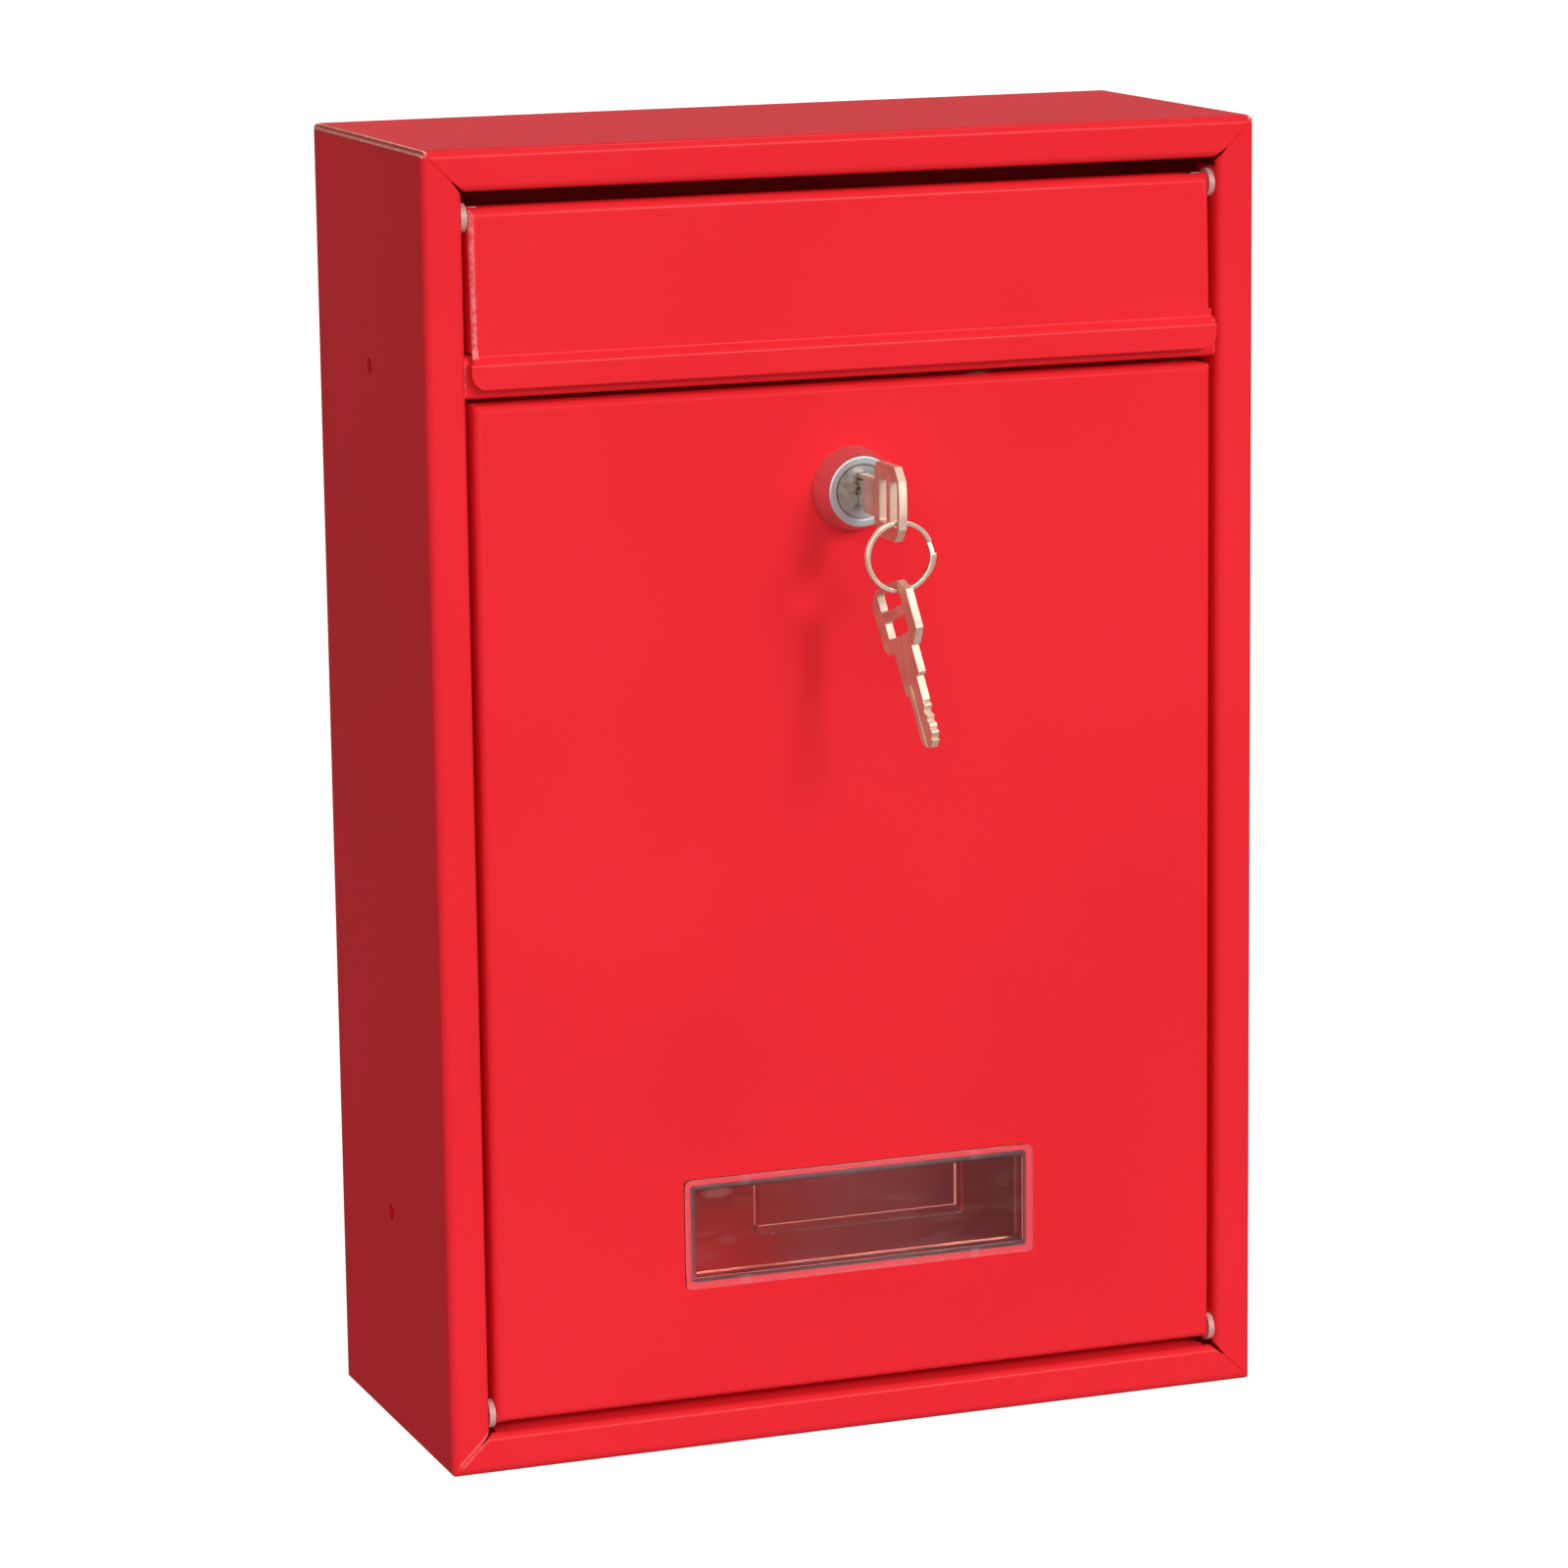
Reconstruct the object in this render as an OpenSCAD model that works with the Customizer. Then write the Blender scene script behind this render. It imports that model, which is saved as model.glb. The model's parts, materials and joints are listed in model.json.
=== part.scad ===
/* [Case] */
// Height of the case
case_h = 320; // [280:1:380]
// Width of the case
case_w = 212; // [180:1:260]
// Depth of the case, from the wall face to the front face
case_d = 91; // [85:1:120]
// Thickness of the steel sheet
sheet_t = 1; // [0.8:0.1:1.2]
// Outside radius of the bends between the walls
bend_r = 2.4; // [2:0.1:3]
// Outside radius of the welded edges that run from front to back
edge_r = 2; // [1.6:0.1:2.6]
// Width of the mitred frame round the front opening
frame_w = 10; // [8:0.5:14]
// Depth of the lips that fold in behind the frame
lip_d = 12; // [10:0.5:16]
// Outside radius of the bend at the opening
lip_r = 2; // [1.6:0.1:2.6]
// Width of the mitre seams and of the edge seams
seam_w = 0.4; // [0.2:0.1:0.8]
// Depth of the seams
seam_d = 0.35; // [0.1:0.05:0.6]
// Size of the notch where two lips meet
lip_notch = 2.2; // [1.5:0.1:3]
// Width of the relief slit where two lips meet in the frame
relief_w = 1.3; // [0.6:0.1:1.6]
// Length of the relief slit along the mitre
relief_l = 3.6; // [2.5:0.1:4.5]

/* [Fixing holes] */
// Distance between the wall holes across the case
wall_hole_dx = 140; // [100:5:160]
// Distance between the wall holes up the case
wall_hole_dz = 220; // [160:5:260]
// Diameter of the wall holes
wall_hole_d = 6; // [4:0.5:8]
// Distance between the two holes in each side wall
side_hole_dz = 210; // [150:5:250]
// Distance of the side holes from the wall face
side_hole_y = 44.5; // [30:0.5:60]
// Diameter of the side holes
side_hole_d = 4; // [3:0.5:6]

/* [Flap] */
// Gap between the flap or door and the frame at each side
side_gap = 1.6; // [1.4:0.1:2.2]
// Gap between the frame and the top of the flap
flap_gap = 4; // [3:0.1:6]
// Height of the flap with its pull lip
flap_h = 42.5; // [36:0.5:60]
// How far the top of the flap lies behind the front of the frame
flap_set = 1.15; // [0.8:0.05:1.6]
// Outward lean of the closed flap
flap_lean = 1.9; // [0:0.1:3]
// Depth of the flanges round the flap
flap_d = 9; // [7:0.5:12]
// Outside radius of the side bends of the flap and the door
side_r = 2; // [1.6:0.1:2.4]
// Height of the pull lip below the joggle
pull_h = 6.2; // [5:0.1:12]
// Step of the joggle
joggle = 1.5; // [1:0.1:2]
// How far the pull lip is wider than the flap at each side
pull_over = 0.7; // [0:0.1:1]
// Radius of the lower corners of the pull lip
pull_r = 4; // [2:0.5:6]
// Flap pivot below the top of the flap
flap_pivot_z = 2.3; // [1.9:0.1:3]
// Flap pivot behind the face of the flap
flap_pivot_y = 3.9; // [3.7:0.1:4.4]

/* [Sill] */
// Height of the sill under the letter slot
sill_h = 10.2; // [9:0.1:16]
// Strip of the sill that shows below the flap
sill_show = 2.1; // [1:0.1:3]
// How far the sill lies behind the front of the frame
sill_set = 1.5; // [1.3:0.1:2.5]
// Height of the strike lip at the back of the sill
strike_h = 6.5; // [5:0.1:8]

/* [Door] */
// Gap between the sill and the door
door_gap_top = 1.5; // [1.3:0.1:3]
// Gap between the door and the bottom of the frame
door_gap_bottom = 2.6; // [2.4:0.1:4]
// Depth of the flanges round the door
door_d = 12; // [9:0.5:14]
// Door pivot above the bottom edge of the door
door_pivot_z = 1.9; // [1.8:0.1:2.4]
// Door pivot behind the face of the door
door_pivot_y = 3.7; // [3.7:0.05:3.9]

/* [Hinge bushes] */
// Diameter of the collar that spaces the flap or door from the frame
collar_d = 7; // [5.5:0.1:7]
// Diameter of the hinge pin
pin_d = 3; // [2.5:0.1:3.2]
// Diameter of the split head that snaps in behind the flange of the flap or door
head_d = 5; // [4:0.1:5]
// Length of the split head
head_l = 2; // [1.6:0.1:2.6]
// Width of the split in the head
split_w = 0.8; // [0.6:0.1:1.2]
// Running clearance round a pin or a plug
running = 0.06; // [0.03:0.01:0.1]
// Clearance between the collar and the flange that turns beside it
side_play = 0.1; // [0.05:0.05:0.3]

/* [Window] */
// Width of the clear insert over its rim
window_w = 91.4; // [60:0.2:110]
// Height of the clear insert over its rim
window_h = 27.4; // [20:0.2:40]
// Centre of the window above the bottom edge of the door
window_z = 42; // [35:0.5:60]
// Width of the rim that laps over the door
rim_w = 1.5; // [1.2:0.1:2.5]
// Height of the rim above the face of the door
rim_h = 1.2; // [0.8:0.1:1.6]
// Width of the label pocket behind the pane
pocket_w = 54.4; // [40:0.2:66]
// Height of the label pocket
pocket_h = 13; // [10:0.5:18]
// Thickness of the lower rib of the label pocket
pocket_t = 2.2; // [1:0.1:2.4]
// Thickness of the left rib of the label pocket
pocket_left = 0.6; // [0.5:0.1:2]
// Thickness of the right rib of the label pocket
pocket_right = 1.7; // [0.5:0.1:2]
// Depth of the ribs of the label pocket
pocket_d = 1.4; // [1:0.1:3]

/* [Lock] */
// Lock axis below the top edge of the door
lock_drop = 24.9; // [20:0.1:28]
// Diameter of the collar where it meets the door
lock_base_d = 20.6; // [19:0.1:24]
// Diameter of the face of the lock
lock_face_d = 17.3; // [16.5:0.1:18]
// Height of the collar above the door
lock_rise = 7; // [5:0.1:9]
// Diameter of the barrel behind the door
barrel_d = 16.4; // [15.6:0.1:16.6]
// Width across the two flats of the barrel
barrel_flat = 14.6; // [14:0.1:15.2]
// Length of the barrel behind the face of the door
barrel_l = 17; // [16:0.5:20]
// Diameter of the plug
plug_d = 12.6; // [12:0.1:12.8]
// Width across the flats of the nut
nut_af = 20; // [19:0.5:24]
// Thickness of the nut
nut_t = 4; // [3:0.1:5]
// Width across the square tail that carries the cam
tail_w = 6.5; // [6:0.1:7]
// Thickness of the cam
cam_t = 2; // [1.5:0.1:2.5]
// Reach of the cam from the lock axis
cam_l = 32; // [30:0.5:34]
// Width of the cam
cam_w = 14; // [12:0.5:16]
// Clearance between fixed pieces that fit into each other
fit = 0.1; // [0.05:0.01:0.15]

/* [Wafers] */
// Thickness of a wafer
wafer_t = 0.9; // [0.7:0.05:1]
// Distance from one wafer to the next
wafer_pitch = 2.2; // [2.1:0.1:2.6]
// First wafer behind the face of the plug
wafer_start = 3.2; // [3:0.1:4]
// How far a wafer rises when the key is out
wafer_rise = 0.6; // [0.4:0.05:0.7]

/* [Keys] */
// Thickness of a key
key_t = 2; // [1.6:0.1:2]
// Length of the blade
blade_l = 17; // [17:0.5:20]
// Width of the blade
blade_w = 6; // [5:0.1:6]
// Length of the neck between the blade and the bow
neck_l = 7.2; // [4:0.1:8]
// Width of the neck
neck_w = 9; // [8:0.1:11]
// Length of the bow
bow_l = 16; // [15.5:0.1:22]
// Width of the bow
bow_w = 17.8; // [17:0.1:21]
// Bevel at the corners of the bow
bow_bevel = 3.2; // [2:0.1:4]
// Width of the slot for the ring, along the key
slot_l = 4.6; // [4.2:0.1:5]
// Length of the slot for the ring, across the key
slot_w = 10.8; // [9:0.1:12]
// Metal left between the ring slot and the end of the bow
slot_edge = 1.5; // [1.3:0.1:1.8]
// Length of the window in the bow, across the key
bow_window_w = 10.2; // [7:0.1:11]
// Width of the window in the bow, along the key
bow_window_l = 4.4; // [3:0.1:4.6]
// Gap between the neck of the key and the face of the plug
key_gap = 3.2; // [2.4:0.1:3.2]

/* [Key ring] */
// Outside diameter of the split ring
ring_d = 17.3; // [16:0.1:20]
// Thickness of the ring wire, measured outwards
ring_t = 1.1; // [0.8:0.05:1.2]
// Width of both turns of the ring
ring_w = 1.8; // [1.4:0.1:1.9]
// How far the last part of the rear turn has sprung outwards
ring_spread = 0.9; // [0:0.1:1]
// Forward tilt of the spare key as it hangs
spare_tilt = 21; // [10:1:22]
// Turn of the spare key about the vertical
spare_turn = 9; // [0:1:12]
// Sideways lean of the spare key
spare_lean = -5; // [-6:1:0]

/* [Hidden] */
$fn = 64;

paint = "#e62e38";
clear_plastic = "#e6dcdc";
bush_plastic = "#e0b4aa";
chrome = "#c8c8c8";
steel = "#b4b4b0";
nickel = "#d2c8b4";

// small overlap that lets two shapes of one piece merge
weld = 0.01;
front_y = -case_d;
open_w = case_w - 2 * frame_w;
open_h = case_h - 2 * frame_w;

// flap, sill and door, from the top of the opening down
leaf_w = open_w - 2 * side_gap;
flap_top = open_h / 2 - flap_gap;
flap_bottom = flap_top - flap_h;
flap_face_y = front_y + flap_set;
joggle_z = flap_bottom + pull_h + joggle;
sill_bottom = flap_bottom - sill_show;
sill_top = sill_bottom + sill_h;
sill_face_y = front_y + sill_set;
door_top = sill_bottom - door_gap_top;
door_bottom = door_gap_bottom - open_h / 2;
flap_pivot = [flap_face_y + flap_pivot_y, flap_top - flap_pivot_z];
door_pivot = [front_y + door_pivot_y, door_bottom + door_pivot_z];
window_mid = door_bottom + window_z;
// metal round the hinge bores, and room for the split heads
lug_wall = 1.1;
lug_r = pin_d / 2 + running + lug_wall;
head_clear = 0.15;
head_room = 0.4;

// lock, with its axis along Y; distances run forward from the face of the door
lock_z = door_top - lock_drop;
plug_face = lock_rise - 0.4;
plug_rear = -barrel_l - 0.05;
plug_r = plug_d / 2;
bore_r = plug_r + running;
cam_front = plug_rear - 0.05;
cam_rear = cam_front - cam_t;
washer_t = 0.8;
screw_d = 4;
groove_w = 4.4;
groove_r = plug_r + wafer_rise + 0.1;
key_side = 0.1;
keyway_w = key_t + 2 * key_side;
keyway_h = blade_w + 4 * key_side;
keyway_l = blade_l + 1;
cam_play = 0.4;
strike_y = front_y - cam_front - cam_play;

// wafers and springs: the ear stands out to the right of the wafer and rests on its spring
wafer_w = 4;
wafer_play = 0.1;
spring_x = 2.9;
spring_r = 0.5;
spring_l = 2;
ear_z = 0.6;
ear_h = 1;

// keys: measured along the key from the tip, with the ring slot near the far end
tab_seat = 0.5;
tab_l = key_gap + tab_seat - 0.2;
tab_w = 1.1;
key_l = blade_l + neck_l + bow_l;
key_tip_y = front_y - plug_face - key_gap + blade_l;
slot_far = key_l - slot_edge;
slot_near = slot_far - slot_l;
ring_play = 1.2;
ring_seat = [slot_far - ring_play, ring_play - slot_w / 2];
ring_mid_r = (ring_d - ring_t) / 2;
ring_pivot = [0, key_tip_y - ring_seat[0], lock_z + ring_seat[1]];
ring_centre = ring_pivot - [0, 0, ring_mid_r];
spare_pivot = ring_pivot - [0, 0, 2 * ring_mid_r];

// Vector helpers for the outline of a folded strip
function unit(v) = v / norm(v);
function side(a, b) = sign(a[0] * b[1] - a[1] * b[0]);

// Centre of the bend of radius r at b, between the legs b-a and b-c
function bend_centre(a, b, c, r) =
  let (u = unit(a - b), v = unit(c - b), m = unit(u + v))
  b + m * r / norm(u - (u * m) * m);

// Points of one face of the bend at b: r is the radius of the reference face, and the other
// face lies the distance t to its left
function bend_arc(a, b, c, r, t, steps = 8) =
  let (
    m = bend_centre(a, b, c, r),
    turn = side(b - a, c - b),
    from = unit([b[1] - a[1], a[0] - b[0]]) * turn,
    sweep = acos(unit(b - a) * unit(c - b)) * turn)
  [for (i = [0 : steps])
    let (w = sweep * i / steps, k = r - turn * t)
    m + k * [from[0] * cos(w) - from[1] * sin(w), from[0] * sin(w) + from[1] * cos(w)]];

function face(path, radii, t) =
  let (
    last = len(path) - 1,
    first_left = unit([path[0][1] - path[1][1], path[1][0] - path[0][0]]),
    last_left = unit([path[last - 1][1] - path[last][1], path[last][0] - path[last - 1][0]]))
  concat(
    [path[0] + t * first_left],
    [for (i = [1 : last - 1]) each bend_arc(path[i - 1], path[i], path[i + 1], radii[i - 1], t)],
    [path[last] + t * last_left]);

// Outline of a strip of sheet folded along a path; the metal lies to the left of the path
function folded(path, radii, t) =
  let (outer = face(path, radii, 0), inner = face(path, radii, t))
  concat(outer, [for (i = [len(inner) - 1 : -1 : 0]) inner[i]]);

// A profile drawn as (y, z) and drawn out across the case
module across(width) {
  translate([-width / 2, 0, 0])
    rotate([90, 0, 90])
      linear_extrude(width) children();
}

// A profile drawn as (x, z) and drawn out from y_from towards the wall
module inwards(y_from, depth) {
  translate([0, y_from + depth, 0])
    rotate([90, 0, 0])
      linear_extrude(depth) children();
}

// A cylinder that lies across the case
module cross_pin(x_from, x_to, r) {
  translate([min(x_from, x_to), 0, 0])
    rotate([0, 90, 0]) cylinder(r = r, h = abs(x_to - x_from));
}

// Round ears of the side flanges that carry the bores; they start behind the side bend
module hinge_lugs(face_y, pivot) {
  for (s = [-1, 1])
    intersection() {
      translate([0, pivot[0], pivot[1]])
        cross_pin(s * leaf_w / 2, s * (leaf_w / 2 - sheet_t), lug_r);
      translate([0, face_y + side_r + 2 * lug_r, pivot[1]])
        cube([2 * leaf_w, 4 * lug_r, 4 * lug_r], center = true);
    }
}

// Cutters at a pivot: the bore in both side flanges and, in the flange above (dir = 1) or below
// it (dir = -1), a notch at each end that clears the split head of the bush
module pivot_cuts(dir) {
  notch_l = head_l + 2 * side_play + head_room;
  notch_y = 1.1;
  notch_d = 12;
  inner_x = leaf_w / 2 - sheet_t;
  for (s = [-1, 1]) {
    cross_pin(s * (inner_x - 1), s * (leaf_w / 2 + 1), pin_d / 2 + running);
    cross_pin(s * (inner_x - notch_l), s * inner_x, head_d / 2 + head_clear);
    translate([s * (inner_x - notch_l / 2), notch_d / 2 - notch_y, dir * notch_d / 2])
      cube([notch_l, notch_d, notch_d], center = true);
  }
}

module rounded_rect(w, h, r) {
  square([w - 2 * r, h], center = true);
  square([w, h - 2 * r], center = true);
  for (x = [-1, 1], y = [-1, 1])
    translate([x * (w / 2 - r), y * (h / 2 - r)]) circle(r);
}

// Block with bent edges: lo and hi are its corners, r_front rounds the edges of its front and
// back, and r_deep rounds the edges that run from front to back
module bent_block(lo, hi, r_front, r_side, r_deep) {
  size = hi - lo;
  mid = (hi + lo) / 2;
  translate(mid) intersection() {
    inwards(-size[1] / 2, size[1]) rounded_rect(size[0], size[2], r_deep);
    translate([0, 0, -size[2] / 2]) linear_extrude(size[2]) rounded_rect(size[0], size[1], r_side);
    across(size[0]) rounded_rect(size[1], size[2], r_front);
  }
}

// Lip that folds in behind the frame at x = half, cut to the mitre at both ends
module opening_lip(half, other_half) {
  reach = lip_r + 0.5;
  intersection() {
    translate([0, 0, -other_half - reach])
      linear_extrude(2 * (other_half + reach))
        polygon(folded(
          [[half, front_y + lip_d], [half, front_y], [half + reach, front_y]],
          [lip_r], sheet_t));
    inwards(front_y - 1, lip_d + 2)
      polygon([
        [half - 1, 1 - other_half], [half - 1, other_half - 1],
        [half + reach, other_half + reach], [half + reach, -other_half - reach]]);
  }
}

// Cutters for the mitre seams across the frame, the relief slits at their inner ends and the
// seams along the two upper edges
module corner_seams() {
  for (x = [-1, 1], z = [-1, 1])
    scale([x, 1, z])
      translate([case_w / 2 - frame_w / 2, 0, case_h / 2 - frame_w / 2]) {
        rotate([0, -45, 0]) {
          translate([-frame_w * 0.65, front_y - 1, -seam_w / 2])
            cube([frame_w * 1.3, seam_d + 1, seam_w]);
          if (z > 0)
            translate([frame_w * 0.7 - edge_r * 0.41 - seam_d, front_y - 1, -seam_w])
              cube([4, case_d - 3, 2 * seam_w]);
        }
        inwards(front_y - 1, lip_r + 2)
          translate([-frame_w / 2, -frame_w / 2])
            rotate(45)
              polygon([[-1, -relief_w / 2], [relief_l, -seam_w / 4], [relief_l, seam_w / 4], [-1, relief_w / 2]]);
      }
}

module case() {
  color(paint) difference() {
    union() {
      difference() {
        bent_block([-case_w / 2, front_y, -case_h / 2], [case_w / 2, 0, case_h / 2],
          bend_r, bend_r, edge_r);
        bent_block(
          [sheet_t - case_w / 2, front_y + sheet_t, sheet_t - case_h / 2],
          [case_w / 2 - sheet_t, -sheet_t, case_h / 2 - sheet_t],
          bend_r - sheet_t, bend_r - sheet_t, edge_r - sheet_t);
        inwards(front_y - 1, lip_d) square([open_w + 2 * lip_r, open_h + 2 * lip_r], center = true);
      }
      for (s = [-1, 1]) {
        scale([s, 1, 1]) opening_lip(open_w / 2, open_h / 2);
        scale([1, 1, s]) rotate([0, -90, 0]) opening_lip(open_h / 2, open_w / 2);
      }
    }
    for (x = [-1, 1], z = [-1, 1]) {
      translate([x * wall_hole_dx / 2, 0, z * wall_hole_dz / 2])
        rotate([90, 0, 0]) cylinder(d = wall_hole_d, h = 6, center = true);
      translate([x * case_w / 2, -side_hole_y, z * side_hole_dz / 2])
        rotate([0, 90, 0]) cylinder(d = side_hole_d, h = 6, center = true);
      translate([x * open_w / 2, front_y + lip_r + lip_d / 2, z * open_h / 2])
        cube([2 * lip_notch, lip_d, 2 * lip_notch], center = true);
    }
    for (p = [flap_pivot, door_pivot])
      translate([0, p[0], p[1]]) cross_pin(-open_w / 2 - 3, open_w / 2 + 3, (pin_d + fit) / 2);
    corner_seams();
  }
}

module slot_sill() {
  top_rear = strike_y - 3;
  color(paint) across(open_w)
    polygon(folded(
      [[top_rear, sill_top], [sill_face_y, sill_top], [sill_face_y, sill_bottom],
        [strike_y, sill_bottom], [strike_y, sill_bottom + strike_h]],
      [2, 1.6, 1.6], sheet_t));
}

// Sheet leaf with flanges all round, open towards the wall
module leaf(face_y, bottom, top, depth, top_r) {
  far = face_y + 4 * depth;
  intersection() {
    difference() {
      bent_block([-leaf_w / 2, face_y, bottom], [leaf_w / 2, far, top], top_r, side_r, 1.2);
      bent_block([sheet_t - leaf_w / 2, face_y + sheet_t, bottom + sheet_t],
        [leaf_w / 2 - sheet_t, far + sheet_t, top - sheet_t], top_r - sheet_t, side_r - sheet_t, 0.2);
    }
    inwards(face_y - 1, depth + 1) square(3 * case_h, center = true);
  }
}

// Joggled pull lip along the bottom of the flap, with a round lower edge
module pull_lip() {
  lip_y = flap_face_y - joggle;
  low = flap_bottom + sheet_t / 2;
  intersection() {
    across(leaf_w + 2 * pull_over) {
      polygon(folded(
        [[flap_face_y, joggle_z + 2], [flap_face_y, joggle_z], [lip_y, joggle_z - joggle],
          [lip_y, low]],
        [1.2, 2.2], sheet_t));
      translate([lip_y + sheet_t / 2, low]) circle(sheet_t / 2);
    }
    inwards(lip_y - 1, joggle + 3) {
      translate([0, joggle_z]) square([leaf_w, 2 * joggle + 2], center = true);
      translate([0, flap_bottom + pull_h / 2 + pull_r / 2])
        intersection() {
          rounded_rect(leaf_w + 2 * pull_over, pull_h + pull_r, pull_r);
          translate([0, -pull_r / 2]) square([2 * leaf_w, pull_h], center = true);
        }
    }
  }
}

module flap() {
  color(paint)
    translate([0, flap_pivot[0], flap_pivot[1]])
      rotate([-flap_lean, 0, 0])
        translate([0, -flap_pivot[0], -flap_pivot[1]])
          difference() {
            union() {
              intersection() {
                leaf(flap_face_y, flap_bottom - 10, flap_top, flap_d, bend_r);
                translate([0, 0, joggle_z + case_h / 2 + 1]) cube(case_h, center = true);
              }
              pull_lip();
              hinge_lugs(flap_face_y, flap_pivot);
            }
            translate([0, flap_pivot[0], flap_pivot[1]]) pivot_cuts(1);
          }
}

// Plastic hinge bush: a flat head behind the lip of the frame, a collar that fills the gap, a
// pin that carries the flap or the door, and a split head that snaps in behind its flange
module bush(pivot) {
  outer_x = open_w / 2;
  collar_x = leaf_w / 2 + side_play;
  head_x = leaf_w / 2 - sheet_t - side_play;
  stop_t = 1;
  stop_r = pin_d / 2 + 0.2;
  color(bush_plastic) translate([0, pivot[0], pivot[1]]) difference() {
    union() {
      cross_pin(outer_x + sheet_t, outer_x + sheet_t + stop_t, stop_r);
      cross_pin(head_x - weld, outer_x + sheet_t + weld, pin_d / 2);
      cross_pin(collar_x, outer_x, collar_d / 2);
      cross_pin(head_x - head_l, head_x, head_d / 2);
    }
    translate([head_x - head_l / 2, 0, 0]) cube([head_l + 1, split_w, head_d + 1], center = true);
  }
}

module flap_bush_left() { mirror([1, 0, 0]) bush(flap_pivot); }
module flap_bush_right() { bush(flap_pivot); }
module door_bush_left() { mirror([1, 0, 0]) bush(door_pivot); }
module door_bush_right() { bush(door_pivot); }

module door() {
  color(paint) difference() {
    union() {
      leaf(front_y, door_bottom, door_top, door_d, side_r);
      hinge_lugs(front_y, door_pivot);
    }
    translate([0, door_pivot[0], door_pivot[1]]) pivot_cuts(-1);
    translate([0, 0, lock_z]) intersection() {
      rotate([90, 0, 0]) cylinder(d = barrel_d + 2 * fit, h = 3 * case_d, center = true);
      cube([barrel_flat + 2 * fit, 3 * case_d, 2 * barrel_d], center = true);
    }
    translate([0, 0, window_mid])
      inwards(front_y - 1, 4) rounded_rect(window_w - 2 * rim_w, window_h - 2 * rim_w, 1);
  }
}

// Clear moulded insert: rim on the face, skirt with snap ribs behind, label pocket on the pane
module door_window() {
  skirt_w = window_w - 2 * rim_w - 2 * fit;
  skirt_h = window_h - 2 * rim_w - 2 * fit;
  wall = 1.2;
  skirt_d = 4.5;
  pane_t = 1.2;
  clip_r = 0.8;
  clip_y = front_y + sheet_t + 0.6;
  color(clear_plastic) translate([0, 0, window_mid]) {
    difference() {
      union() {
        inwards(front_y - rim_h, rim_h) rounded_rect(window_w, window_h, 1.4);
        inwards(front_y - weld, skirt_d) rounded_rect(skirt_w, skirt_h, 0.9);
      }
      inwards(front_y - rim_h + pane_t, skirt_d + 2) rounded_rect(skirt_w - 2 * wall, skirt_h - 2 * wall, 0.6);
      inwards(front_y - rim_h - 1, 1.3) rounded_rect(skirt_w - 2 * wall, skirt_h - 2 * wall, 0.6);
    }
    for (x = [-0.33, 0.33], z = [-1, 1])
      translate([x * skirt_w, clip_y, z * (skirt_h / 2 - 0.2)])
        rotate([0, 90, 0]) cylinder(r = clip_r, h = 6, center = true, $fn = 4);
    difference() {
      translate([0, 0, (skirt_h - pocket_h) / 2 - wall])
        inwards(front_y - rim_h + pane_t - weld, pocket_d) rounded_rect(pocket_w, pocket_h, 0.8);
      translate([(pocket_left - pocket_right) / 2, 0, (skirt_h - pocket_h) / 2 - wall + pocket_t + 1])
        inwards(front_y - rim_h + pane_t - 1, 6)
          square([pocket_w - pocket_left - pocket_right, pocket_h + 2], center = true);
    }
  }
}

// Places a shape that is turned about Z on the axis of the lock, with Z running forward
module on_lock_axis() {
  translate([0, front_y, lock_z]) rotate([90, 0, 0]) children();
}

module lock_housing() {
  rim = 0.5;
  color(chrome) on_lock_axis() difference() {
    rotate_extrude() polygon([
      [bore_r, -barrel_l], [barrel_d / 2 - 0.6, -barrel_l], [barrel_d / 2, 0.6 - barrel_l],
      [barrel_d / 2, 0], [lock_base_d / 2, 0], [lock_base_d / 2, 0.6],
      [lock_face_d / 2, lock_rise - rim], [lock_face_d / 2 - 0.15, lock_rise - 0.15],
      [lock_face_d / 2 - rim, lock_rise], [bore_r + rim, lock_rise], [bore_r, lock_rise - rim]]);
    for (s = [-1, 1])
      translate([s * (barrel_flat / 2 + barrel_d / 2), 0, -barrel_d])
        cube([barrel_d, 2 * barrel_d, 2 * barrel_d], center = true);
    for (a = [0, 90])
      rotate([0, 0, a])
        translate([0, 0, plug_face - wafer_start - 2 * wafer_pitch])
          intersection() {
            cube([groove_w, 2 * barrel_d, 4 * wafer_pitch + 2 * wafer_t + 0.6], center = true);
            cylinder(r = groove_r, h = 2 * barrel_l, center = true);
          }
  }
}

module lock_nut() {
  nut_r = nut_af / 2 / cos(30);
  chamfer = nut_r - nut_af / 2;
  color(steel) on_lock_axis() translate([0, 0, -sheet_t - nut_t]) difference() {
    intersection() {
      cylinder(r = nut_r, h = nut_t, $fn = 6);
      union() {
        translate([0, 0, chamfer]) cylinder(r = 2 * nut_r, h = nut_t);
        cylinder(r1 = nut_r - chamfer, r2 = nut_r, h = chamfer + weld);
      }
    }
    translate([0, 0, -1]) cylinder(d = barrel_d + 2 * running, h = nut_t + 2);
  }
}

function wafer_at(i) = plug_face - wafer_start - i * wafer_pitch;

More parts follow.
